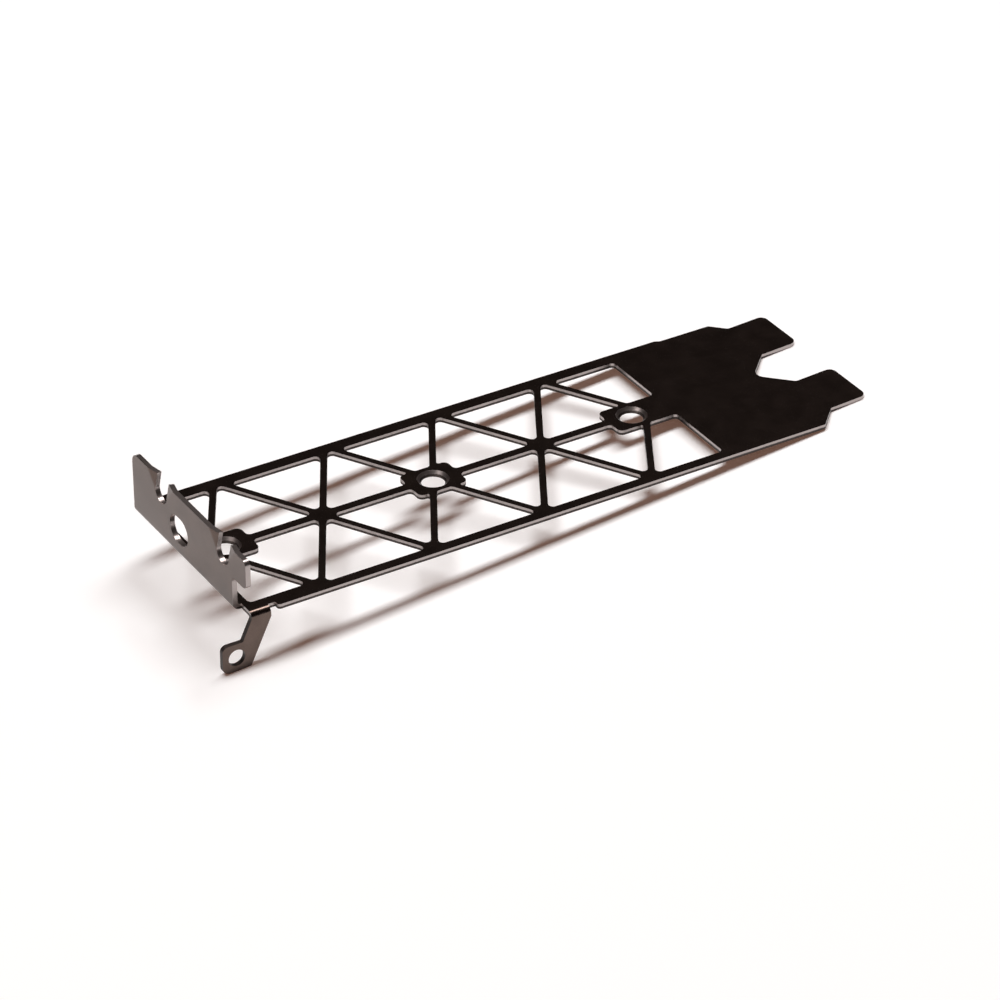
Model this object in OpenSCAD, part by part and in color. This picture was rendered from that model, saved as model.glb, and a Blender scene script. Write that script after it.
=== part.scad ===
// Double-width expansion slot cover bracket, cut and folded from one sheet of steel.
// The long face lies flat with its outer side up. The screw flange is folded up at the
// -X end, the tongues that drop into the chassis are at the +X end, and the board ear is
// folded down beside the flange. The origin is the middle screw hole, in the outer face.
// Lengths are measured from the outside of the flange, widths from the near long edge.

/* [Sheet] */
// Thickness of the steel
sheet_t = 0.86; // [0.7:0.02:1.1]
// Inside radius of the flange fold
fold_r = 0.4; // [0.2:0.05:0.7]
// Radius of the small outside corners
corner_r = 0.5; // [0.2:0.05:0.6]

/* [Long face] */
// Outside of the flange to the tongue tips
bracket_l = 120.02; // [118:0.05:126]
// Outside of the flange to the shoulders where the tongues start
shoulder_l = 112.75; // [110:0.05:114]
// Width over the truss
truss_w = 37.2; // [36.6:0.1:38.7]
// Near long edge to the centre line of truss, screws and tongues
near_half = 19.05; // [18.6:0.05:19.6]
// Distance between two neighbouring slots
slot_pitch = 20.32; // [19.8:0.02:20.8]
// Amount by which the far edge steps in at the solid end
end_inset = 0.45; // [0.2:0.05:0.8]
// Outside of the flange to that step
step_l = 99.6; // [95:0.1:104]

/* [Truss] */
// Outside of the flange to the middle screw hole
centre_l = 45.2; // [44.8:0.1:45.6]
// Length of one triangle of the truss
cell_pitch = 20.4; // [20:0.05:20.7]
// Width of a slanted strut
strut_w = 1.15; // [0.8:0.05:1.8]
// Width of the middle rail
mid_rail_w = 1.6; // [1:0.1:2.4]
// Width of the far rail
far_rail_w = 2.35; // [1.6:0.05:3.2]
// Width of the near rail
near_rail_w = 1.85; // [1.4:0.05:2.4]
// Width of the near rail beside the board ear
heel_w = 2.9; // [2.5:0.1:3.6]
// Outside of the flange to the first openings
opening_start = 2.6; // [2.2:0.1:3]
// Outside of the flange to the solid end
solid_start = 89.9; // [88.5:0.1:92]
// Radius in the corners of the openings
opening_r = 0.8; // [0.3:0.05:1]

/* [Screw bosses] */
// Distance between the screw holes
screw_pitch = 38.1; // [37.6:0.1:38.6]
// Diameter of a screw hole
screw_d = 3.9; // [3:0.1:4.4]
// Diameter of its countersink in the outer face
sink_d = 5.3; // [4.6:0.1:5.4]
// Length of the flat round a screw hole, along the bracket
boss_l = 9; // [8:0.1:10]
// Width of that flat
boss_w = 7; // [6.4:0.1:7.6]
// Radius at the corners of that flat
boss_r = 1; // [0.4:0.1:1.1]

/* [Tongues] */
// Width of a tongue
tongue_w = 10.19; // [9:0.01:11]
// Radius at the corners of its tip
tip_r = 1.3; // [0.5:0.1:2.5]
// Angle by which the tongues lift towards the outer side
tongue_lift = 3; // [1:0.5:6]
// Radius at the bottom of the notch between the tongues
gap_r = 1.7; // [0.8:0.1:2.4]

/* [Flange] */
// Inner face of the long face to the free edge of the flange
flange_h = 11.43; // [10.8:0.01:12.5]
// Amount by which the flange stops short of the far edge
flange_far_inset = 1.1; // [0.6:0.1:2]
// Amount by which the folded foot stops short of the near edge
flange_near_inset = 3.3; // [2.9:0.1:3.6]
// Amount by which the flange's wing stands past the near edge
wing_out = 1.3; // [0.6:0.1:3]
// Inner face of the long face to the underside of the wing
wing_h = 6.35; // [5.5:0.05:6.8]
// Radius of the far upper corner
flange_r = 1.6; // [0.6:0.1:2]
// Width of a screw notch
notch_w = 4.1; // [3.6:0.1:4.5]
// Depth of a screw notch from the free edge
notch_depth = 4.3; // [3.6:0.1:4.6]
// Centre of a slot to its screw notch, towards the near edge
notch_offset = 2.76; // [2.4:0.02:3]
// Length of the locating hole, across the bracket
slot_hole_l = 6; // [5.2:0.1:6.4]
// Height of the locating hole
slot_hole_h = 4.8; // [4:0.1:5]
// Centre line of the long face to the locating hole, towards the far edge
slot_hole_side = 1.65; // [1.2:0.05:2]
// Inner face of the long face to the centre of the locating hole
slot_hole_up = 5.1; // [4.9:0.05:5.5]

/* [Board ear] */
// Inside radius of the ear's fold
ear_fold_r = 0.2; // [0.1:0.05:0.4]
// Outside of the flange to the ear
ear_start = 1.5; // [1.4:0.05:2]
// Width of the ear's strip
ear_w = 3.4; // [2.8:0.1:3.8]
// Angle by which the strip leans towards the flange
ear_lean = 25; // [18:1:28]
// Outer face of the long face to the centre of the ear's hole
eye_drop = 7.2; // [6.8:0.1:9]
// Amount by which that centre stands out past the flange
eye_out = 1.3; // [0.8:0.1:1.8]
// Height and width of the eye
eye_w = 5; // [4.6:0.1:5.4]
// Diameter of the ear's hole
eye_hole_d = 2.9; // [2.4:0.1:3.4]
// Width of the relief cut beside the ear
relief_w = 1.3; // [0.8:0.1:1.8]

/* [Hidden] */
$fn = 64;
nook_r = 0.35;                               // between a boss and the strut leaving it
cut = 0.1;                                   // how far a cutter runs past a face
corner_steps = 5;                            // straight stretches in a rounded corner
lean = 60;                                   // the truss is made of equal-sided triangles
row_h = cell_pitch * sin(lean);              // centre line to the outer row of nodes
fold_l = fold_r + sheet_t;                   // outside of the flange to the flat face
ear_fold_l = ear_fold_r + sheet_t;           // near edge to the flat beside the ear
far_rail_h = truss_w - far_rail_w - near_half;   // centre line to the rails' inner edges
near_rail_h = near_half - near_rail_w;
heel_h = near_half - heel_w;
end_w = truss_w - end_inset;
tongue_ys = [near_half - slot_pitch / 2, near_half + slot_pitch / 2];
tongue_fold_r = 3;                           // the tongues lift over a short, soft fold
tongue_root_l = shoulder_l + 0.6;
flange_near = flange_near_inset;
flange_far = truss_w - flange_far_inset;

function unit(v) = v / norm(v);

// Points round a corner p between neighbours a and b, for a list of [x, y, radius]
function round_corner(a, p, b) =
    let (at = [p.x, p.y], u = unit([a.x, a.y] - at), v = unit([b.x, b.y] - at),
         half = acos(u * v) / 2, r = p[2],
         centre = at + unit(u + v) * r / sin(half),
         from = at + u * r / tan(half) - centre, to = at + v * r / tan(half) - centre,
         turn = 180 - 2 * half)
    r == 0 ? [at] :
    [for (i = [0 : corner_steps])
        centre + (sin(turn * (1 - i / corner_steps)) * from
                  + sin(turn * i / corner_steps) * to) / sin(turn)];

function rounded(pts) =
    let (n = len(pts))
    [for (i = [0 : n - 1]) each round_corner(pts[(i + n - 1) % n], pts[i], pts[(i + 1) % n])];

// A flat piece of the sheet with its outer side at z = 0
module sheet(pts) {
    translate([0, 0, -sheet_t]) linear_extrude(sheet_t) polygon(rounded(pts));
}

// A fold across the sheet's +X end, w wide, that turns it up by angle over an inside
// radius r. The children are drawn in the turned frame that starts where the fold ends.
module folded(w, r, angle) {
    translate([0, w, r]) rotate([90, 0, 0]) rotate([0, 0, -90])
        rotate_extrude(angle = angle) translate([r, 0]) square([sheet_t, w]);
    translate([0, 0, r]) rotate([0, -angle, 0]) translate([0, 0, -r]) children();
}

// ---- Truss. Nodes 0 to 4 lie on the centre line; nodes 0, 2 and 4 carry a screw boss.
// Inside a cell, x runs along the bracket and h away from the centre line.

function node_x(k) = centre_l + (k - 2) * cell_pitch;
function screw_x(k) = centre_l + (k - 2) * screw_pitch / 2;
function has_boss(k) = k % 2 == 0;

// Edge of the strut through node k at height h: tilt 1 leans it towards the tongues, -1
// towards the flange, and side picks the edge on the tongues' side (1) or the other (-1)
function strut_x(k, h, tilt, side) =
    node_x(k) + tilt * h / tan(lean) + side * strut_w / 2 / sin(lean);

// Corner of a cell at node k: down the strut, then round the boss to the middle rail
function inner_corner(k, side) =
    let (top = boss_w / 2, x = screw_x(k) + side * boss_l / 2, rail = mid_rail_w / 2)
    has_boss(k)
    ? [[strut_x(k, top, side, side), top, nook_r], [x, top, boss_r], [x, rail, opening_r]]
    : [[strut_x(k, rail, side, side), rail, opening_r]];

function backwards(pts) = [for (i = [len(pts) - 1 : -1 : 0]) pts[i]];

// Cell with its base on the middle rail, between nodes k and k + 1
function mid_cell(k) =
    concat([[(node_x(k) + node_x(k + 1)) / 2, row_h - strut_w, opening_r]],
           inner_corner(k + 1, -1), backwards(inner_corner(k, 1)));

// Cell with its base on an outer rail and its point at node k
function rail_cell(k, rail_h) =
    let (top = boss_w / 2)
    concat([[strut_x(k, rail_h, -1, 1), rail_h, opening_r],
            [strut_x(k, rail_h, 1, -1), rail_h, opening_r]],
           has_boss(k)
           ? [[strut_x(k, top, 1, -1), top, opening_r], [strut_x(k, top, -1, 1), top, opening_r]]
           : [[node_x(k), strut_w, opening_r]]);

// Cells that are cut off by the flange and by the solid end
function first_cell(rail_h) =
    let (top = boss_w / 2)
    [[opening_start, rail_h, opening_r], [strut_x(0, rail_h, 1, -1), rail_h, opening_r],
     [strut_x(0, top, 1, -1), top, opening_r], [opening_start, top, opening_r]];

function last_cell(rail_h) =
    let (top = boss_w / 2)
    [[strut_x(4, rail_h, -1, 1), rail_h, opening_r], [solid_start, rail_h, opening_r],
     [solid_start, top, opening_r], [strut_x(4, top, -1, 1), top, opening_r]];

// Cuts a cell through the face, on the far (1) or near (-1) side of the centre line
module cell_cut(pts, side) {
    translate([0, near_half, -sheet_t - cut])
        linear_extrude(sheet_t + 2 * cut)
            polygon(rounded([for (p = pts) [p.x, side * p.y, p[2]]]));
}

module truss_cuts() {
    cell_cut(first_cell(far_rail_h), 1);
    cell_cut(first_cell(heel_h), -1);
    cell_cut(last_cell(far_rail_h), 1);
    cell_cut(last_cell(near_rail_h), -1);
    for (k = [0 : 3], side = [-1, 1]) cell_cut(mid_cell(k), side);
    for (k = [1 : 3]) {
        cell_cut(rail_cell(k, far_rail_h), 1);
        cell_cut(rail_cell(k, near_rail_h), -1);
    }
}

module screw_hole() {
    sink_h = (sink_d - screw_d) / 2;
    translate([0, 0, -sheet_t - cut]) cylinder(d = screw_d, h = sheet_t + 2 * cut);
    translate([0, 0, -sink_h]) cylinder(d1 = screw_d, d2 = sink_d + 2 * cut, h = sink_h + cut);
}

// ---- The long face, with everything that is cut from it

function shoulder(y, side) = [shoulder_l, y + side * tongue_w / 2, corner_r];

module long_face() {
    far_taper = end_w - tongue_ys[1] - tongue_w / 2;
    near_taper = tongue_ys[0] - tongue_w / 2;
    gap = (slot_pitch - tongue_w) / 2;
    root = tongue_root_l;
    outline = [
        [fold_l, flange_near, 0], [fold_l, flange_far, 0],
        [ear_start, flange_far, 0], [ear_start, truss_w, corner_r],
        [step_l, truss_w, corner_r], [step_l + 2 * end_inset, end_w, corner_r],
        [shoulder_l - far_taper, end_w, corner_r], shoulder(tongue_ys[1], 1),
        [root, tongue_ys[1] + tongue_w / 2, 0], [root, tongue_ys[1] - tongue_w / 2, 0],
        shoulder(tongue_ys[1], -1), [shoulder_l - gap, near_half, gap_r],
        shoulder(tongue_ys[0], 1),
        [root, tongue_ys[0] + tongue_w / 2, 0], [root, tongue_ys[0] - tongue_w / 2, 0],
        shoulder(tongue_ys[0], -1), [shoulder_l - near_taper, 0, corner_r],
        [ear_start + ear_w + relief_w, 0, corner_r],
        [ear_start + ear_w + relief_w, ear_fold_l, 0], [ear_start, ear_fold_l, 0],
        [ear_start, flange_near, 0]
    ];
    difference() {
        sheet(outline);
        truss_cuts();
        for (k = [0, 2, 4]) translate([screw_x(k), near_half, 0]) screw_hole();
    }
}

// ---- The tongues, lifted a little out of the face

module tongues() {
    run = bracket_l - tongue_root_l;
    tip = (run - (tongue_fold_r + sheet_t) * sin(tongue_lift)) / cos(tongue_lift);
    for (y = tongue_ys)
        translate([tongue_root_l, y - tongue_w / 2, 0])
            folded(tongue_w, tongue_fold_r, tongue_lift)
                sheet([[0, 0, 0], [tip, 0, tip_r], [tip, tongue_w, tip_r], [0, tongue_w, 0]]);
}

// ---- The screw flange, drawn past its fold: x is the height above the fold

module flange_cuts(free_edge) {
    face = fold_r + sheet_t;
    notch_x = free_edge - notch_depth + notch_w / 2;
    translate([0, 0, -sheet_t - cut]) {
        for (y = tongue_ys) translate([notch_x, y - notch_offset - flange_near, 0]) {
            cylinder(d = notch_w, h = sheet_t + 2 * cut);
            translate([0, -notch_w / 2, 0])
                cube([notch_depth, notch_w, sheet_t + 2 * cut]);
        }
        reach = (slot_hole_l - slot_hole_h) / 2;
        translate([slot_hole_up - face, near_half + slot_hole_side - flange_near, 0]) {
            for (side = [-1, 1]) translate([0, side * reach, 0])
                cylinder(d = slot_hole_h, h = sheet_t + 2 * cut);
            translate([-slot_hole_h / 2, -reach, 0])
                cube([slot_hole_h, 2 * reach, sheet_t + 2 * cut]);
        }
    }
}

module flange() {
    w = flange_far - flange_near;
    free_edge = flange_h - fold_l;
    wing = wing_h - fold_l;
    wing_y = -flange_near - wing_out;
    outline = [
        [0, 0, 0], [wing, 0, 2 * corner_r], [wing, wing_y, 2 * corner_r],
        [free_edge, wing_y, 2 * corner_r], [free_edge, w, flange_r], [0, w, 0]
    ];
    translate([fold_l, flange_near, 0]) mirror([1, 0, 0]) folded(w, fold_r, 90)
        difference() {
            sheet(outline);
            flange_cuts(free_edge);
        }
}

// ---- The board ear, drawn past its fold: x is the depth below the fold

module ear() {
    neck = corner_r;
    eye = [eye_drop - ear_fold_l, -ear_start - eye_out];
    top = eye.x - eye_w / 2;
    bottom = eye.x + eye_w / 2;
    slope = tan(ear_lean);
    outline = [
        [0, 0, 0], [0, ear_w, 0], [neck, ear_w, corner_r],
        [bottom, ear_w - (bottom - neck) * slope, corner_r],
        [bottom, eye.y - eye_w / 2, 2.4 * corner_r], [top, eye.y - eye_w / 2, 2 * corner_r],
        [top, -top * slope, corner_r / 2]
    ];
    translate([ear_start, ear_fold_l, -sheet_t]) rotate([0, 0, -90]) mirror([0, 0, 1])
        folded(ear_w, ear_fold_r, 90)
            difference() {
                sheet(outline);
                translate([eye.x, eye.y, -sheet_t - cut])
                    cylinder(d = eye_hole_d, h = sheet_t + 2 * cut);
            }
}

module slot_bracket() {
    color([0.17, 0.14, 0.13]) translate([-centre_l, -near_half, 0]) {
        long_face();
        tongues();
        flange();
        ear();
    }
}

slot_bracket();
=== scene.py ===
"""Double-width expansion slot bracket, made the way the sheet metal shop makes it.

A flat blank is cut out by a node tree, folded along its fold lines, given the thickness of
the steel, countersunk and broken at its edges, and then plated.
"""
import math
import bmesh
import bpy
from bpy.props import FloatProperty, FloatVectorProperty, IntProperty, PointerProperty
from mathutils import Matrix, Vector


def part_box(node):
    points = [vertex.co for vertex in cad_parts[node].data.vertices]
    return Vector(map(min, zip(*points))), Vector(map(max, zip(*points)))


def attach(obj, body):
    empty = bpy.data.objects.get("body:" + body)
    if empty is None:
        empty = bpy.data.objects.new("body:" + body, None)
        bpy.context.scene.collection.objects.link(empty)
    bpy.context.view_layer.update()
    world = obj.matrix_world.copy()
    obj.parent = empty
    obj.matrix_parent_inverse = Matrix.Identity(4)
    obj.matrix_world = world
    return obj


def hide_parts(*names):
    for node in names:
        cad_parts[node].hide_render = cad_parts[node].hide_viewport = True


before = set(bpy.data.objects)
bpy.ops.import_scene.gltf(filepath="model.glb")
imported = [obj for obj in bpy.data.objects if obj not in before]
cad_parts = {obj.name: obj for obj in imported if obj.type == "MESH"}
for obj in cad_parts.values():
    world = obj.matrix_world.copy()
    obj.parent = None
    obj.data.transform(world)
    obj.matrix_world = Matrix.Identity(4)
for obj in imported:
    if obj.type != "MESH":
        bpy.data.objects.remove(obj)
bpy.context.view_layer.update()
NODE = "slot_bracket"
BRACKET = "plated_bracket"

LEAN = math.radians(60)              # the truss is made of equal-sided triangles
HOLE_SIDES = 64                      # straight stretches round a screw hole
CURL_STRIPS = 4                      # flat strips in a curled corner
FULL_ROUND = 0.9999                  # a corner's radius, as a share of half a hole's width
NOTCH_ROUND = 0.999                  # the same at the bottom of a screw notch
BROKEN_EDGE = math.radians(38)       # an edge that turns by more than this is rounded
SLACK = 1e-6                         # how far past a line a point still counts as on it
MERGE = 1e-7                         # points closer than this are one point

bl_info = {
    "name": "Expansion Slot Bracket",
    "version": (1, 0, 0),
    "blender": (4, 5, 0),
    "location": "3D View > Sidebar > Bracket",
    "description": "Cuts, folds and plates a vented double-width slot bracket",
    "category": "Mesh",
}


# ---- Sizes and colours that a user would change

def millimetres(name, value, description):
    return FloatProperty(name=name, description=description, default=value * 0.001,
                         precision=5, subtype="DISTANCE", unit="LENGTH")


def colour(name, value, description):
    return FloatVectorProperty(name=name, description=description, default=value, size=3,
                               min=0.0, max=1.0, subtype="COLOR")


def angle(name, degrees, description):
    return FloatProperty(name=name, description=description, default=math.radians(degrees),
                         subtype="ANGLE", unit="ROTATION")


class BracketSheetSizes(bpy.types.PropertyGroup):
    """The steel that the bracket is folded from"""
    thickness: millimetres("Thickness", 0.86, "Thickness of the steel")
    fold_radius: millimetres("Fold Radius", 0.4, "Inside radius of the flange's fold")
    ear_fold_radius: millimetres("Ear Fold Radius", 0.2, "Inside radius of the ear's fold")
    corner: millimetres("Corner Radius", 0.5, "Radius of the small outside corners")
    edge_break: millimetres("Edge Break", 0.1, "Width of the rounding along every cut edge")
    corner_steps: IntProperty(name="Corner Steps", default=9, min=2, max=32,
                              description="Straight stretches in a rounded corner")
    fold_steps: IntProperty(name="Fold Steps", default=10, min=2, max=32,
                            description="Flat strips in a fold")


class BracketFaceSizes(bpy.types.PropertyGroup):
    """The long face and its tongues"""
    length: millimetres("Length", 120.02, "Outside of the flange to the tongue tips")
    shoulder: millimetres("Shoulder", 112.75, "Outside of the flange to the shoulders")
    width: millimetres("Width", 37.2, "Width over the truss")
    near_half: millimetres("Near Half", 19.05, "Near long edge to the centre line")
    end_inset: millimetres("End Inset", 0.45, "Step in the far edge at the solid end")
    step: millimetres("Step Place", 99.6, "Outside of the flange to that step")
    slot_pitch: millimetres("Slot Pitch", 20.32, "Distance between two neighbouring slots")
    tongue_width: millimetres("Tongue Width", 10.19, "Width of a tongue")
    tip_radius: millimetres("Tip Radius", 1.3, "Radius at the corners of a tongue's tip")
    gap_radius: millimetres("Gap Radius", 1.7, "Radius at the bottom of the notch between them")
    tongue_bend: millimetres("Tongue Bend", 3.0, "Inside radius of the tongues' bend")
    tongue_root: millimetres("Tongue Root", 0.6, "Shoulder to the start of that bend")
    tongue_lift: angle("Tongue Lift", 3.0, "Angle by which the tongues lift")


class BracketTrussSizes(bpy.types.PropertyGroup):
    """The open truss and its screw bosses"""
    centre: millimetres("Centre", 45.2, "Outside of the flange to the middle screw hole")
    cell_pitch: millimetres("Cell Pitch", 20.4, "Length of one triangle")
    strut: millimetres("Strut Width", 1.15, "Width of a slanted strut")
    middle_rail: millimetres("Middle Rail", 1.6, "Width of the middle rail")
    far_rail: millimetres("Far Rail", 2.35, "Width of the far rail")
    near_rail: millimetres("Near Rail", 1.85, "Width of the near rail")
    heel: millimetres("Heel", 2.9, "Width of the near rail beside the board ear")
    start: millimetres("First Opening", 2.6, "Outside of the flange to the first openings")
    end: millimetres("Solid End", 89.9, "Outside of the flange to the solid end")
    opening_radius: millimetres("Opening Radius", 0.8, "Radius in the openings' corners")
    nook_radius: millimetres("Nook Radius", 0.35, "Radius between a boss and its struts")
    screw_pitch: millimetres("Screw Pitch", 38.1, "Distance between the screw holes")
    screw_radius: millimetres("Screw Radius", 1.95, "Radius of a screw hole")
    sink_radius: millimetres("Sink Radius", 2.65, "Radius of its countersink")
    boss_length: millimetres("Boss Length", 9.0, "Length of the flat round a screw hole")
    boss_width: millimetres("Boss Width", 7.0, "Width of that flat")
    boss_radius: millimetres("Boss Radius", 1.0, "Radius at the corners of that flat")


class BracketFlangeSizes(bpy.types.PropertyGroup):
    """The screw flange"""
    height: millimetres("Height", 11.43, "Underside of the long face to the free edge")
    far_inset: millimetres("Far Inset", 1.1, "Far edge of the truss to the flange")
    near_inset: millimetres("Near Inset", 3.3, "Near edge of the truss to the flange's foot")
    wing_out: millimetres("Wing", 1.3, "Amount by which the wing passes the near edge")
    wing_height: millimetres("Wing Height", 6.35, "Underside of the face to the wing")
    corner: millimetres("Corner Radius", 1.6, "Radius of the far upper corner")
    notch_width: millimetres("Notch Width", 4.1, "Width of a screw notch")
    notch_depth: millimetres("Notch Depth", 4.3, "Depth of a screw notch")
    notch_offset: millimetres("Notch Offset", 2.76, "Centre of a slot to its screw notch")
    hole_length: millimetres("Hole Length", 6.0, "Length of the locating hole")
    hole_height: millimetres("Hole Height", 4.8, "Height of the locating hole")
    hole_side: millimetres("Hole Side", 1.65, "Centre line to the locating hole")
    hole_up: millimetres("Hole Up", 5.1, "Underside of the face to the locating hole")
    curl_length: millimetres("Curl Length", 2.5, "A notch's curled corner, along the free edge")
    curl_depth: millimetres("Curl Depth", 3.7, "The same corner, down the side of the notch")
    curl_radius: millimetres("Curl Radius", 1.6, "Radius of the curl")
    curl_angle: angle("Curl", 17.0, "Angle by which those corners are curled inwards")


class BracketEarSizes(bpy.types.PropertyGroup):
    """The board ear"""
    start: millimetres("Start", 1.5, "Outside of the flange to the ear")
    width: millimetres("Width", 3.4, "Width of the ear's strip")
    relief: millimetres("Relief", 1.3, "Width of the relief cut beside the ear")
    eye_drop: millimetres("Eye Drop", 7.2, "Outer face to the centre of the eye")
    eye_out: millimetres("Eye Out", 1.3, "Amount by which the eye passes the flange")
    eye_width: millimetres("Eye Width", 5.0, "Height and width of the eye")
    hole_radius: millimetres("Hole Radius", 1.45, "Radius of the ear's hole")
    lean: angle("Lean", 25.0, "Angle by which the strip leans towards the flange")


class BracketFinish(bpy.types.PropertyGroup):
    """The black plating"""
    plating: colour("Plating", (0.135, 0.095, 0.08), "Black nickel over rolled steel")
    # The cut edges' light and dark tones stand partly for their smooth and broken-away bands, and
    # partly for painted reflection and painted shade
    smooth_band_and_sheen: colour("Burnished Edge", (0.44, 0.37, 0.35), "Cut edge, where the punch slid by")
    broken_band_and_shade: colour("Torn Edge", (0.07, 0.055, 0.05), "Cut edge, where the steel broke away")
    smooth_and_sheen_share: FloatProperty(name="Burnish", default=0.42, min=0.0, max=1.0,
                           description="Share of the sheet's thickness that is burnished")
    roughness: FloatProperty(name="Roughness", default=0.18, min=0.0, max=1.0,
                             description="Roughness of the plating on the rolled faces")


class BracketStage(bpy.types.PropertyGroup):
    """The floor, the strip light and the camera"""
    floor: colour("Floor", (0.955, 0.975, 0.985), "Colour of the floor")
    glow: colour("Glow", (0.125, 0.065, 0.045), "Warm light that the camera sees on the floor")
    floor_size: millimetres("Floor Size", 4000.0, "Length of a side of the floor")
    room: colour("Room", (0.024, 0.02, 0.019), "Light of the dark room")
    azimuth: angle("Azimuth", -31.554, "Heading of the camera, from +Y")
    elevation: angle("Elevation", 32.466, "Height of the camera above the horizon")
    roll: angle("Roll", 0.171, "Turn of the camera about its own axis")
    place: FloatVectorProperty(name="Camera Place", default=(-0.297238, -0.504637, 0.36852),
                               size=3, subtype="TRANSLATION", unit="LENGTH",
                               description="Camera position in the bracket's frame")
    lens: FloatProperty(name="Lens", default=154.55, min=1.0, description="Lens in millimetres")
    film: FloatProperty(name="Film", default=36.0, min=1.0, description="Film in millimetres")
    lamp_place: FloatVectorProperty(name="Lamp Place", default=(-0.02, 0.36, 2.4), size=3,
                                    subtype="TRANSLATION", unit="LENGTH",
                                    description="Middle of the strip light")
    lamp_length: millimetres("Lamp Length", 3000.0, "Length of the strip light")
    lamp_width: millimetres("Lamp Width", 800.0, "Width of the strip light")
    lamp_power: FloatProperty(name="Lamp Power", default=71.0, min=0.0,
                              description="Power of the strip light in watts")


SETTINGS = {
    "bracket_sheet": BracketSheetSizes,
    "bracket_face": BracketFaceSizes,
    "bracket_truss": BracketTrussSizes,
    "bracket_flange": BracketFlangeSizes,
    "bracket_ear": BracketEarSizes,
    "bracket_finish": BracketFinish,
    "bracket_stage": BracketStage,
}


# ---- The flat blank. Corners are (x, y, radius), with the outer side of the sheet up.

class Blank:
    """Where the edges and fold lines of the flat sheet lie, in the frame's own axes"""

    def __init__(self, scene):
        self.sheet = scene.bracket_sheet
        self.face = scene.bracket_face
        self.truss = scene.bracket_truss
        self.flange = scene.bracket_flange
        self.ear = scene.bracket_ear
        low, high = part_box(NODE)
        self.outside = high[0] - self.face.length
        self.far = high[1]
        self.near = self.far - self.face.width
        self.middle = self.near + self.face.near_half
        self.tongues = [self.middle + side * self.face.slot_pitch / 2 for side in (-1, 1)]
        self.foot = self.near + self.flange.near_inset
        self.flange_end = self.far - self.flange.far_inset
        # A fold is a line, the radius of the sheet's outer side there, and its angle
        thickness = self.sheet.thickness
        self.flange_radius = self.sheet.fold_radius
        self.flange_line = self.outside + self.sheet.fold_radius + thickness
        self.ear_radius = self.sheet.ear_fold_radius + thickness
        self.ear_line = self.near + self.ear_radius
        self.tongue_line = self.outside + self.face.shoulder + self.face.tongue_root
        self.wing_underside = self.flange_x(self.flange.wing_height - thickness)
        self.ear_side = self.outside + self.ear.start + self.ear.width
        self.flat_flange = self.flange_x(self.flange_radius)
        self.curls = [curl for slot in self.tongues for curl in self.notch_curls(slot)]

    def notch_curls(self, slot):
        """The two corners at a notch's mouth: start and end of each one's fold line on the
        flat blank, the direction across it, and the side of the notch that it lies on"""
        flange = self.flange
        middle = slot - flange.notch_offset
        half = flange.notch_width / 2
        top = self.flange_x(flange.height - self.sheet.thickness)
        reach = flange.curl_depth - (flange.notch_depth - half)
        side_end = math.sqrt(half ** 2 - max(reach, 0.0) ** 2)
        curls = []
        for side in (-1, 1):
            start = Vector((top, middle + side * (half + flange.curl_length)))
            end = Vector((top + flange.curl_depth, middle + side * side_end))
            along = (end - start).normalized()
            curls.append((start, end, Vector((-side * -along.y, -side * along.x)), side))
        return curls

    def curl(self, x, y):
        """Place on the flat blank, and height above it, of a point of the flange"""
        flange = self.flange
        for start, end, across, side in self.curls:
            past = (Vector((x, y)) - start).dot(across)
            beside = -SLACK < side * (start.y - y) < side * (start.y - end.y) + SLACK
            if past > SLACK and beside and x < end.x + SLACK:
                over, lift = bend(past, flange.curl_radius, flange.curl_angle)
                return x + across.x * (over - past), y + across.y * (over - past), lift
        return x, y, 0.0

    def flange_x(self, height):
        """Place on the flat blank of a height above the outer face, on the flange"""
        radius = self.flange_radius
        return self.flange_line - radius * math.pi / 2 - (height - radius)

    def ear_y(self, drop):
        """Place on the flat blank of a depth below the outer face, on the ear"""
        radius = self.ear_radius
        return self.ear_line - radius * math.pi / 2 - (drop - radius)

    def tongue_x(self, reach):
        """Place on the flat blank of a distance from the flange's outside, on a tongue"""
        radius, lift = self.face.tongue_bend, self.face.tongue_lift
        bent = self.tongue_line + (radius + self.sheet.thickness) * math.sin(lift)
        return (self.tongue_line + radius * lift
                + (self.outside + reach - bent) / math.cos(lift))

    def fold(self, x, y):
        """Where a point of the flat blank's outer side ends up once the sheet is folded"""
        if y < self.ear_line and self.wing_underside + SLACK < x < self.ear_side + SLACK:
            across, drop = bend(self.ear_line - y, self.ear_radius, math.pi / 2)
            return Vector((x, self.ear_line - across, -drop))
        if x < self.flange_line:
            x, y, lift = self.curl(x, y)
            across, rise = bend(self.flange_line - x, self.flange_radius, math.pi / 2)
            return Vector((self.flange_line - across + lift, y, rise))
        if x > self.tongue_line:
            face = self.face
            across, rise = bend(x - self.tongue_line, face.tongue_bend, face.tongue_lift)
            return Vector((self.tongue_line + across, y, rise))
        return Vector((x, y, 0.0))


def bend(along, radius, turn):
    """(distance across, rise) of a point that lies a distance along the sheet past a fold line"""
    if along < radius * turn:
        return radius * math.sin(along / radius), radius * (1 - math.cos(along / radius))
    rest = along - radius * turn
    return (radius * math.sin(turn) + rest * math.cos(turn),
            radius * (1 - math.cos(turn)) + rest * math.sin(turn))


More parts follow.
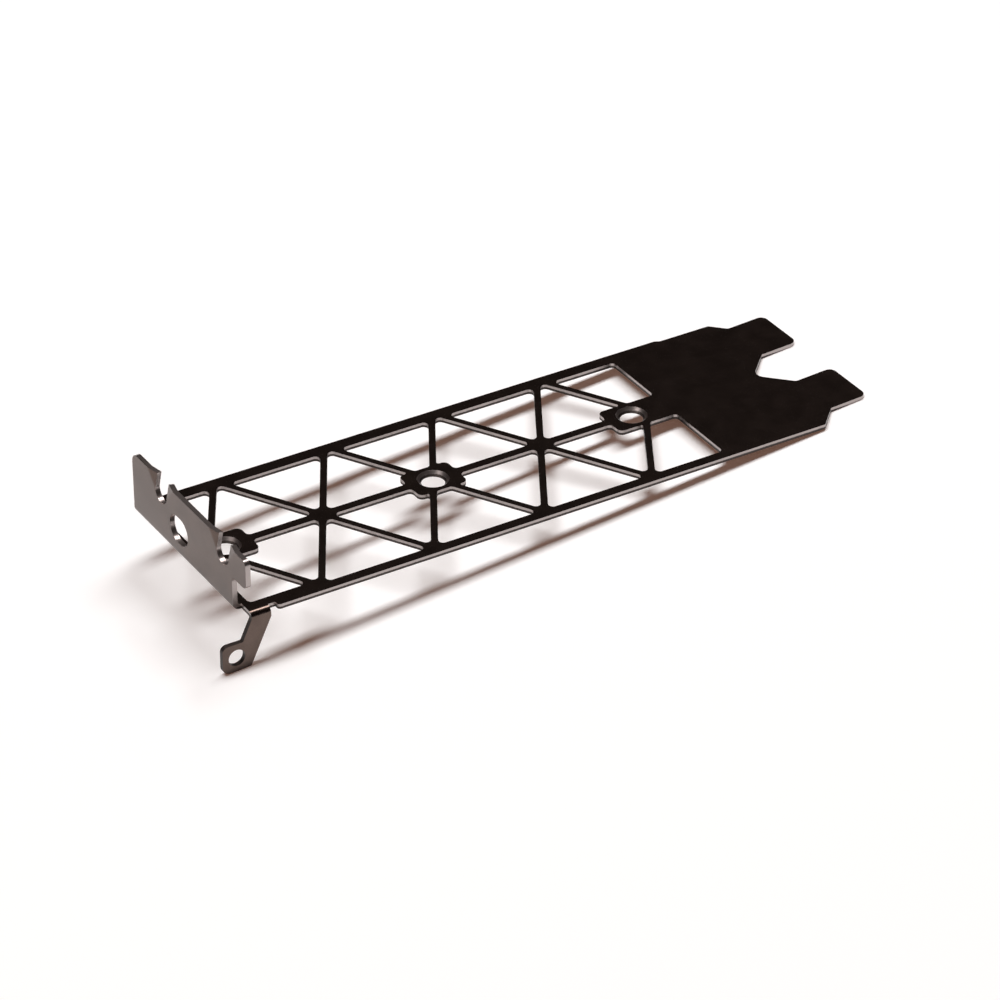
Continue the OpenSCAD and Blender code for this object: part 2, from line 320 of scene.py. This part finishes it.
def face_outline(blank):
    """The edge of the long face from the ear's relief cut round to the far end of the flange"""
    face, ear, corner = blank.face, blank.ear, blank.sheet.corner
    half = face.tongue_width / 2
    shoulder = blank.outside + face.shoulder
    tip = blank.tongue_x(face.length)
    end_far = blank.far - face.end_inset
    gap = (face.slot_pitch - face.tongue_width) / 2
    relief = blank.ear_side + ear.relief
    step = blank.outside + face.step
    points = [(relief, blank.ear_line, 0.0), (relief, blank.near, corner),
              (shoulder - (blank.tongues[0] - half - blank.near), blank.near, corner)]
    for place in blank.tongues:
        if place > blank.middle:
            points.append((shoulder - gap, blank.middle, face.gap_radius))
        points += [(shoulder, place - half, corner), (tip, place - half, face.tip_radius),
                   (tip, place + half, face.tip_radius), (shoulder, place + half, corner)]
    points += [(shoulder - (end_far - blank.tongues[1] - half), end_far, corner),
               (step + 2 * face.end_inset, end_far, corner), (step, blank.far, corner),
               (blank.outside + ear.start, blank.far, corner),
               (blank.outside + ear.start, blank.flange_end, 0.0)]
    return points


def flange_outline(blank):
    """The edge of the flange from its far end over the screw notches to the wing and the foot"""
    flange, corner = blank.flange, blank.sheet.corner
    soft, slight = 2 * corner, corner / 4
    round_end = flange.notch_width / 2 * NOTCH_ROUND
    top = blank.flange_x(flange.height - blank.sheet.thickness)
    bottom = top + flange.notch_depth
    half = flange.notch_width / 2
    points = [(top, blank.flange_end, flange.corner)]
    for slot in reversed(blank.tongues):
        notch = slot - flange.notch_offset
        points += [(top, notch + half, slight), (bottom, notch + half, round_end),
                   (bottom, notch - half, round_end), (top, notch - half, slight)]
    wing_end = blank.near - flange.wing_out
    points += [(top, wing_end, soft), (blank.wing_underside, wing_end, soft),
               (blank.wing_underside, blank.foot, soft),
               (blank.outside + blank.ear.start, blank.foot, 0.0)]
    return points


def ear_outline(blank):
    """The edge of the board ear, down its flange side, round the eye and back up"""
    ear, corner = blank.ear, blank.sheet.corner
    left = blank.outside + ear.start
    eye = blank.outside - ear.eye_out
    half = ear.eye_width / 2
    slope = math.tan(ear.lean)
    top, bottom = ear.eye_drop - half, ear.eye_drop + half
    neck = blank.ear_radius + corner
    eye_top, eye_bottom = 2 * corner, 2.4 * corner
    return [(left, blank.ear_line, 0.0), (left, blank.ear_y(blank.ear_radius), 0.0),
            (left - (top - blank.ear_radius) * slope, blank.ear_y(top), corner / 2),
            (eye - half, blank.ear_y(top), eye_top),
            (eye - half, blank.ear_y(bottom), eye_bottom),
            (blank.ear_side - (bottom - neck) * slope, blank.ear_y(bottom), corner),
            (blank.ear_side, blank.ear_y(neck), corner), (blank.ear_side, blank.ear_line, 0.0)]


class Truss:
    """The openings of the truss, as corners (x, height above the centre line, radius)"""

    def __init__(self, blank):
        self.blank = blank
        self.sizes = blank.truss
        self.slope = math.tan(LEAN)
        self.row = self.sizes.cell_pitch * math.sin(LEAN)
        self.boss = self.sizes.boss_width / 2
        self.rail = self.sizes.middle_rail / 2
        self.radius = self.sizes.opening_radius

    def node(self, k):
        """Node k of the five on the centre line"""
        return self.blank.outside + self.sizes.centre + (k - 2) * self.sizes.cell_pitch

    def screw(self, k):
        """Screw hole at node k, which is 0, 2 or 4"""
        return self.blank.outside + self.sizes.centre + (k - 2) * self.sizes.screw_pitch / 2

    def strut(self, k, height, tilt, side):
        """Edge of the strut through node k that leans towards the tongues (tilt 1) or away"""
        edge = self.sizes.strut / 2 / math.sin(LEAN)
        return self.node(k) + tilt * height / self.slope + side * edge

    def inner_corner(self, k, side):
        """Down the strut at node k, then round its boss to the middle rail"""
        if k % 2:
            return [(self.strut(k, self.rail, side, side), self.rail, self.radius)]
        edge = self.screw(k) + side * self.sizes.boss_length / 2
        return [(self.strut(k, self.boss, side, side), self.boss, self.sizes.nook_radius),
                (edge, self.boss, self.sizes.boss_radius), (edge, self.rail, self.radius)]

    def middle_cell(self, k):
        """Base on the middle rail between nodes k and k + 1"""
        apex = ((self.node(k) + self.node(k + 1)) / 2, self.row - self.sizes.strut, self.radius)
        return [apex] + self.inner_corner(k + 1, -1) + self.inner_corner(k, 1)[::-1]

    def rail_cell(self, k, height):
        """Base on an outer rail, point at node k"""
        base = [(self.strut(k, height, -1, 1), height, self.radius),
                (self.strut(k, height, 1, -1), height, self.radius)]
        if k % 2:
            return base + [(self.node(k), self.sizes.strut, self.radius)]
        return base + [(self.strut(k, self.boss, 1, -1), self.boss, self.radius),
                       (self.strut(k, self.boss, -1, 1), self.boss, self.radius)]

    def end_cell(self, k, height, tilt, limit):
        """Cut off square by the flange or by the solid end"""
        return [(self.strut(k, height, tilt, -tilt), height, self.radius),
                (limit, height, self.radius), (limit, self.boss, self.radius),
                (self.strut(k, self.boss, tilt, -tilt), self.boss, self.radius)]

    def openings(self):
        """Every opening of both bands, as closed outlines on the blank"""
        blank, sizes = self.blank, self.sizes
        far = blank.far - sizes.far_rail - blank.middle
        near = blank.middle - blank.near - sizes.near_rail
        heel = blank.middle - blank.near - sizes.heel
        outlines = []
        for side, rail, first in ((1, far, far), (-1, near, heel)):
            cells = [self.middle_cell(k) for k in range(4)]
            cells += [self.rail_cell(k, rail) for k in (1, 2, 3)]
            cells.append(self.end_cell(0, first, 1, blank.outside + sizes.start))
            cells.append(self.end_cell(4, rail, -1, blank.outside + sizes.end))
            outlines += [[(x, blank.middle + side * h, r) for x, h, r in cell] for cell in cells]
        return outlines


def round_hole(x, y, radius, half_length=None):
    """A circle, or an obround hole across the bracket, as a box with fully rounded corners"""
    return [(x + i * radius, y + j * (half_length or radius), radius * FULL_ROUND)
            for i, j in ((-1, -1), (1, -1), (1, 1), (-1, 1))]


def locating_hole(blank):
    """The obround hole in the middle of the flange"""
    flange = blank.flange
    return round_hole(blank.flange_x(flange.hole_up - blank.sheet.thickness),
                      blank.middle + flange.hole_side, flange.hole_height / 2,
                      flange.hole_length / 2)


def outline_mesh(outlines):
    """Closed chains of edges, with each corner's radius kept as a value on its point"""
    bm = bmesh.new()
    radius = bm.verts.layers.float.new("corner_radius")
    for corners in outlines:
        points = [bm.verts.new((x, y, 0.0)) for x, y, r in corners]
        for point, (x, y, r) in zip(points, corners):
            point[radius] = r
        for point, following in zip(points, points[1:] + points[:1]):
            bm.edges.new((point, following))
    mesh = bpy.data.meshes.new("blank_outline")
    bm.to_mesh(mesh)
    bm.free()
    return mesh


# ---- Node trees

class Tree:
    """Adds nodes to a tree: a type, its settings, and the values or links of its sockets"""

    def __init__(self, tree):
        self.tree = tree

    def add(self, kind, settings=None, **sockets):
        node = self.tree.nodes.new(kind)
        for name, value in (settings or {}).items():
            setattr(node, name, value)
        for name, value in sockets.items():
            self.set(node, name, value)
        return node

    def set(self, node, name, value):
        """name is a socket's name with _ for a space, or its number after the word input"""
        number = name[5:] if name.startswith("input") else ""
        key = int(number) if number.isdigit() else name.replace("_", " ")
        socket = node.inputs[key]
        value = getattr(value, "socket", value)
        if isinstance(value, bpy.types.NodeSocket):
            self.tree.links.new(value, socket)
        else:
            socket.default_value = value


def blank_tree(material):
    """Rounds the outlines' corners, drills the screw holes in a row and fills the sheet"""
    group = bpy.data.node_groups.new("cut_blank", "GeometryNodeTree")
    face = group.interface
    face.new_socket("Outlines", in_out="INPUT", socket_type="NodeSocketGeometry")
    sizes = (("Corner Steps", "NodeSocketInt"), ("Screw Count", "NodeSocketInt"),
             ("Screw Pitch", "NodeSocketFloat"), ("Screw Radius", "NodeSocketFloat"),
             ("First Screw", "NodeSocketVector"), ("Plating", "NodeSocketMaterial"))
    for name, kind in sizes:
        face.new_socket(name, in_out="INPUT", socket_type=kind)
    face.new_socket("Sheet", in_out="OUTPUT", socket_type="NodeSocketGeometry")
    tree = Tree(group)
    given = tree.add("NodeGroupInput").outputs
    radius = tree.add("GeometryNodeInputNamedAttribute", {"data_type": "FLOAT"},
                      Name="corner_radius")
    chains = tree.add("GeometryNodeMeshToCurve", Mesh=given["Outlines"])
    rounded = tree.add("GeometryNodeFilletCurve", {"mode": "POLY"},
                       Curve=chains.outputs["Curve"], Count=given["Corner Steps"],
                       Radius=radius.outputs["Attribute"], Limit_Radius=True)
    step = tree.add("ShaderNodeCombineXYZ", X=given["Screw Pitch"])
    row = tree.add("GeometryNodeMeshLine", Count=given["Screw Count"],
                   Start_Location=given["First Screw"], Offset=step.outputs["Vector"])
    drill = tree.add("GeometryNodeCurvePrimitiveCircle", Resolution=HOLE_SIDES,
                     Radius=given["Screw Radius"])
    holes = tree.add("GeometryNodeInstanceOnPoints", Points=row.outputs["Mesh"],
                     Instance=drill.outputs["Curve"])
    holes = tree.add("GeometryNodeRealizeInstances", Geometry=holes.outputs["Instances"])
    curves = tree.add("GeometryNodeJoinGeometry")
    group.links.new(holes.outputs["Geometry"], curves.inputs["Geometry"])
    group.links.new(rounded.outputs["Curve"], curves.inputs["Geometry"])
    filled = tree.add("GeometryNodeFillCurve", {"mode": "NGONS"},
                      Curve=curves.outputs["Geometry"])
    whole = tree.add("GeometryNodeRealizeInstances", Geometry=filled.outputs["Mesh"])
    plated = tree.add("GeometryNodeSetMaterial", Geometry=whole.outputs["Geometry"],
                      Material=given["Plating"])
    tree.add("NodeGroupOutput", Sheet=plated.outputs["Geometry"])
    return group


def set_inputs(modifier, **values):
    """Sets a node modifier's inputs, found by name, through their identifiers"""
    for item in modifier.node_group.interface.items_tree:
        key = item.name.replace(" ", "_").lower()
        if item.item_type == "SOCKET" and item.in_out == "INPUT" and key in values:
            modifier[item.identifier] = values[key]


def finished_mesh(piece):
    """The piece's mesh with its modifiers worked out"""
    bpy.context.view_layer.update()
    evaluated = piece.evaluated_get(bpy.context.evaluated_depsgraph_get())
    return bpy.data.meshes.new_from_object(evaluated)


def take_mesh(piece, mesh):
    """Gives the piece a finished mesh in place of its modifiers"""
    piece.modifiers.clear()
    old, piece.data = piece.data, mesh
    bpy.data.meshes.remove(old)


# ---- The sheet metal work

def cut_blank(blank, material):
    """The flat blank as a piece of its own"""
    outlines = [face_outline(blank) + flange_outline(blank) + ear_outline(blank)]
    outlines += Truss(blank).openings()
    outlines.append(locating_hole(blank))
    ear = blank.ear
    outlines.append(round_hole(blank.outside - ear.eye_out, blank.ear_y(ear.eye_drop),
                               ear.hole_radius))
    piece = bpy.data.objects.new(BRACKET, outline_mesh(outlines))
    bpy.context.scene.collection.objects.link(piece)
    modifier = piece.modifiers.new("cut_blank", "NODES")
    modifier.node_group = blank_tree(material)
    truss = blank.truss
    first = (blank.outside + truss.centre - truss.screw_pitch, blank.middle, 0.0)
    set_inputs(modifier, corner_steps=blank.sheet.corner_steps, screw_count=3,
               screw_pitch=truss.screw_pitch, screw_radius=truss.sink_radius,
               first_screw=first, plating=material)
    take_mesh(piece, finished_mesh(piece))
    return piece


def with_borders(faces):
    """The faces together with their edges and points"""
    return (faces + list({e for f in faces for e in f.edges})
            + list({v for f in faces for v in f.verts}))


def cut_across(bm, geometry, place, normal):
    """Cuts the geometry by a plane and keeps both sides"""
    bmesh.ops.bisect_plane(bm, geom=geometry, plane_co=place, plane_no=normal, dist=MERGE)


def fold_blank(piece, blank):
    """Cuts strips across the folds and bends the flat mesh to its folded shape"""
    bm = bmesh.new()
    bm.from_mesh(piece.data)
    bmesh.ops.remove_doubles(bm, verts=bm.verts, dist=MERGE)
    steps = blank.sheet.fold_steps
    folds = ((blank.flange_line, -blank.flange_radius * math.pi / 2, (1, 0, 0)),
             (blank.ear_line, -blank.ear_radius * math.pi / 2, (0, 1, 0)),
             (blank.tongue_line, blank.face.tongue_bend * blank.face.tongue_lift, (1, 0, 0)))
    for line, arc, normal in folds:
        for i in range(steps + 1):
            everything = bm.verts[:] + bm.edges[:] + bm.faces[:]
            cut_across(bm, everything, Vector(normal) * (line + arc * i / steps), normal)
    arc = blank.flange.curl_radius * blank.flange.curl_angle
    edge = blank.flat_flange + SLACK
    for start, end, across, side in blank.curls:
        for i in range(CURL_STRIPS + 1):
            plate = [f for f in bm.faces if all(v.co.x < edge for v in f.verts)]
            place = start + across * arc * i / CURL_STRIPS
            cut_across(bm, with_borders(plate), place.to_3d(), across.to_3d())
    for vert in bm.verts:
        vert.co = blank.fold(vert.co.x, vert.co.y)
    bm.normal_update()
    long_face = max(bm.faces, key=lambda f: f.calc_area())
    if long_face.normal.z < 0:
        bmesh.ops.reverse_faces(bm, faces=bm.faces)
    bm.to_mesh(piece.data)
    bm.free()


def thicken(piece, blank):
    """Gives the folded sheet its thickness, away from the outer side, with a level free edge"""
    solid = piece.modifiers.new("thickness", "SOLIDIFY")
    solid.thickness = blank.sheet.thickness
    solid.offset = -1
    solid.use_even_offset = True
    solid.use_quality_normals = True
    solid.material_offset_rim = 1
    take_mesh(piece, finished_mesh(piece))
    free_edge = blank.flange.height - blank.sheet.thickness
    for vert in piece.data.vertices:
        vert.co.z = min(vert.co.z, free_edge)


def countersink(piece, blank):
    """Narrows the screw holes below a cone that starts at the outer face"""
    truss = blank.truss
    depth = truss.sink_radius - truss.screw_radius
    centres = [Vector((Truss(blank).screw(k), blank.middle, 0.0)) for k in (0, 2, 4)]

    def hole_of(vert):
        for centre in centres:
            if (vert.co.xy - centre.xy).length < truss.sink_radius + 10 * SLACK:
                return centre
        return None

    bm = bmesh.new()
    bm.from_mesh(piece.data)
    walls = [f for f in bm.faces if all(hole_of(v) for v in f.verts)
             and abs(f.normal.z) < 0.5]
    cut_across(bm, with_borders(walls), (0, 0, -depth), (0, 0, 1))
    for vert in bm.verts:
        centre = hole_of(vert)
        if centre and vert.co.z < -depth + SLACK:
            out = (vert.co.xy - centre.xy).normalized() * truss.screw_radius
            vert.co.xy = centre.xy + out
    bm.to_mesh(piece.data)
    bm.free()


def break_edges(piece, blank):
    """Rounds every cut edge a little and shades the sheet smoothly"""
    piece.data.shade_smooth()
    bevel = piece.modifiers.new("edge_break", "BEVEL")
    bevel.width = blank.sheet.edge_break
    bevel.segments = 2
    bevel.limit_method = "ANGLE"
    bevel.angle_limit = BROKEN_EDGE
    bevel.harden_normals = True
    take_mesh(piece, finished_mesh(piece))


# ---- Materials. Marks are counted per metre, and their depth is in metres.

CLOUDS, ROLLING_LINES, GRAIN, SHEAR_MARKS = 260.0, 900.0, 2600.0, 3200.0
MARK_DEPTH = 0.00002
DARKER, LIGHTER = 0.9, 1.1           # tones of the clouds in the plating

class Value:
    """A number or a vector in a material, so that its maths reads as arithmetic"""

    def __init__(self, shader, socket):
        self.shader = shader
        self.socket = socket

    def _math(self, operation, first, second):
        node = self.shader.add("ShaderNodeMath", {"operation": operation},
                               input0=first, input1=second)
        return Value(self.shader, node.outputs[0])

    def __add__(self, other):
        return self._math("ADD", self, other)

    __radd__ = __add__

    def __sub__(self, other):
        return self._math("SUBTRACT", self, other)

    def __rsub__(self, other):
        return self._math("SUBTRACT", other, self)

    def __mul__(self, other):
        return self._math("MULTIPLY", self, other)

    __rmul__ = __mul__


class Shader(Tree):
    """A material's nodes, read in the piece's own coordinates"""

    def __init__(self, name):
        self.material = bpy.data.materials.new(name)
        self.material.use_nodes = True
        super().__init__(self.material.node_tree)
        self.surface = self.tree.nodes["Principled BSDF"]
        where = self.add("ShaderNodeTexCoord")
        self.place = Value(self, where.outputs["Object"])
        self.height = Value(self, self.add("ShaderNodeSeparateXYZ",
                                           Vector=self.place).outputs["Z"])

    def noise(self, scale, detail=3.0, roughness=0.5, stretch=(1.0, 1.0, 1.0)):
        """Cloudy values from 0 to 1; scale is in clouds per metre"""
        mapped = self.add("ShaderNodeMapping", Vector=self.place, Scale=stretch)
        node = self.add("ShaderNodeTexNoise", Vector=mapped.outputs["Vector"], Scale=scale,
                        Detail=detail, Roughness=roughness)
        return Value(self, node.outputs["Fac"])

    def between(self, value, low, high):
        """0 below low and 1 above high, with a soft step between"""
        node = self.add("ShaderNodeMapRange", {"interpolation_type": "SMOOTHSTEP"},
                        Value=value, From_Min=low, From_Max=high)
        return Value(self, node.outputs["Result"])

    def blend(self, factor, first, second):
        """first where the factor is 0 and second where it is 1"""
        node = self.add("ShaderNodeMix", {"data_type": "RGBA"}, Factor=factor,
                        input6=first, input7=second)
        return Value(self, node.outputs[2])

    def bump(self, height, strength, distance):
        node = self.add("ShaderNodeBump", Height=height, Strength=strength, Distance=distance)
        return Value(self, node.outputs["Normal"])

    def finish(self, **sockets):
        for name, value in sockets.items():
            self.set(self.surface, name, value)
        return self.material


def shade(value, factor):
    """A colour made darker or lighter, with an opaque alpha"""
    return tuple(min(1.0, c * factor) for c in value) + (1.0,)


def rolled_plating(finish):
    """Black nickel on the rolled faces: glossy, a little cloudy, with faint rolling lines"""
    shader = Shader("black_plating")
    clouds = shader.noise(CLOUDS, detail=4.0, roughness=0.55)
    grain = shader.noise(GRAIN, detail=3.0, roughness=0.6)
    lines = shader.noise(ROLLING_LINES, detail=2.0, stretch=(0.06, 1.0, 1.0))
    tint = shader.blend(shader.between(clouds, 0.3, 0.7), shade(finish.plating, DARKER),
                        shade(finish.plating, LIGHTER))
    roughness = finish.roughness + 0.06 * clouds + 0.05 * grain
    relief = shader.bump(0.6 * grain + 0.4 * lines, 0.12, MARK_DEPTH)
    return shader.finish(Base_Color=tint, Roughness=roughness, Metallic=1.0, Normal=relief)


def sheared_plating_and_painted_light(finish, thickness):
    """Black nickel on the cut edges: a light band where the punch rubbed the steel smooth near
    the outer side, partly painted reflection, and a dark band below where the steel broke away,
    partly painted shade
    """
    shader = Shader("black_plating_sheared")
    marks = shader.noise(SHEAR_MARKS, detail=3.0, stretch=(1.0, 1.0, 0.12))
    band = 0.12 * thickness
    limit = -thickness * finish.smooth_and_sheen_share
    wavy = shader.height + 2 * band * marks
    # Light upper band: the cut's smooth band plus painted reflection; dark lower band: the
    # broken-away band plus painted shade
    smooth_band_and_sheen = shader.between(wavy, limit - band / 3, limit + band * 2 / 3)
    tint = shader.blend(smooth_band_and_sheen, shade(finish.broken_band_and_shade, 1.0), shade(finish.smooth_band_and_sheen, 1.0))
    roughness = 0.42 - 0.16 * smooth_band_and_sheen + 0.1 * marks
    relief = shader.bump(marks, 0.2, MARK_DEPTH)
    return shader.finish(Base_Color=tint, Roughness=roughness, Metallic=1.0, Normal=relief)


# ---- The stage

def resting_plane():
    """A point on the floor and its normal; it meets the eye's lower edge and the shoulders"""
    scene = bpy.context.scene
    low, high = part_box(NODE)
    outside = high[0] - scene.bracket_face.length
    tip = Vector((outside - scene.bracket_ear.eye_out, 0.0, low[2]))
    shoulder = Vector((outside + scene.bracket_face.shoulder, 0.0,
                       -scene.bracket_sheet.thickness))
    along = (shoulder - tip).normalized()
    return tip, Vector((0.0, 1.0, 0.0)).cross(along) * -1.0


def make_floor(stage):
    point, normal = resting_plane()
    bpy.ops.mesh.primitive_plane_add(size=stage.floor_size)
    floor = bpy.context.object
    floor.name = "floor"
    floor.matrix_world = (Matrix.Translation(point)
                          @ Vector((0, 0, 1)).rotation_difference(normal).to_matrix().to_4x4())
    shader = Shader("floor_paper")
    seen = shader.add("ShaderNodeLightPath").outputs["Is Camera Ray"]
    glow = shader.blend(seen, (0.0, 0.0, 0.0, 1.0), shade(stage.glow, 1.0))
    floor.data.materials.append(shader.finish(Base_Color=shade(stage.floor, 1.0),
                                              Roughness=0.9, Specular_IOR_Level=0.0,
                                              Emission_Color=glow, Emission_Strength=1.0))


def make_striplight(stage):
    light = bpy.data.lights.new("striplight", "AREA")
    light.shape = "RECTANGLE"
    light.size = stage.lamp_length
    light.size_y = stage.lamp_width
    light.energy = stage.lamp_power
    lamp = bpy.data.objects.new("striplight", light)
    lamp.location = stage.lamp_place
    lamp.rotation_euler = (-Vector(stage.lamp_place)).to_track_quat("-Z", "Y").to_euler()
    bpy.context.scene.collection.objects.link(lamp)


def make_room(stage):
    """The even light of a dark room"""
    scene = bpy.context.scene
    scene.world = scene.world or bpy.data.worlds.new("room")
    scene.world.use_nodes = True
    background = scene.world.node_tree.nodes["Background"]
    background.inputs["Color"].default_value = shade(stage.room, 1.0)
    background.inputs["Strength"].default_value = 1.0


def make_camera(stage):
    camera = bpy.data.objects.new("camera", bpy.data.cameras.new("camera"))
    camera.data.lens = stage.lens
    camera.data.sensor_width = stage.film
    camera.location = stage.place
    camera.rotation_euler = (Matrix.Rotation(stage.azimuth, 3, "Z")
                             @ Matrix.Rotation(math.pi / 2 - stage.elevation, 3, "X")
                             @ Matrix.Rotation(stage.roll, 3, "Z")).to_euler()
    bpy.context.scene.collection.objects.link(camera)
    bpy.context.scene.camera = camera


# ---- Operators and panel

class BRACKET_OT_sheet(bpy.types.Operator):
    """Cut, fold, thicken, countersink and plate the bracket"""
    bl_idname = "bracket.sheet"
    bl_label = "Make Bracket"
    bl_options = {"REGISTER", "UNDO"}

    def execute(self, context):
        scene = context.scene
        blank = Blank(scene)
        plating = rolled_plating(scene.bracket_finish)
        piece = cut_blank(blank, plating)
        piece.data.materials.append(sheared_plating_and_painted_light(scene.bracket_finish,
                                                    scene.bracket_sheet.thickness))
        fold_blank(piece, blank)
        thicken(piece, blank)
        countersink(piece, blank)
        break_edges(piece, blank)
        if not piece.data.polygons:
            raise RuntimeError("the blank could not be filled")
        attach(piece, "root")
        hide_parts(NODE)
        return {"FINISHED"}


class BRACKET_OT_stage(bpy.types.Operator):
    """Set up the floor, the strip light, the dark room and the camera"""
    bl_idname = "bracket.stage"
    bl_label = "Make Stage"
    bl_options = {"REGISTER", "UNDO"}

    def execute(self, context):
        stage = context.scene.bracket_stage
        make_camera(stage)
        make_floor(stage)
        make_striplight(stage)
        make_room(stage)
        context.scene.view_settings.view_transform = "Standard"
        return {"FINISHED"}


class BRACKET_PT_panel(bpy.types.Panel):
    """Sizes and finish of the bracket"""
    bl_idname = "BRACKET_PT_panel"
    bl_label = "Expansion Slot Bracket"
    bl_space_type = "VIEW_3D"
    bl_region_type = "UI"
    bl_category = "Bracket"

    def draw(self, context):
        for name, group in SETTINGS.items():
            box = self.layout.box()
            box.label(text=group.__doc__)
            settings = getattr(context.scene, name)
            for field in group.__annotations__:
                box.prop(settings, field)
        self.layout.operator("bracket.sheet")
        self.layout.operator("bracket.stage")


CLASSES = (*SETTINGS.values(), BRACKET_OT_sheet, BRACKET_OT_stage, BRACKET_PT_panel)


def register():
    for cls in CLASSES:
        bpy.utils.register_class(cls)
    for name, group in SETTINGS.items():
        setattr(bpy.types.Scene, name, PointerProperty(type=group))


def unregister():
    for name in SETTINGS:
        delattr(bpy.types.Scene, name)
    for cls in reversed(CLASSES):
        bpy.utils.unregister_class(cls)


def main():
    register()
    bpy.ops.bracket.stage()
    bpy.ops.bracket.sheet()


if __name__ == "__main__":
    main()
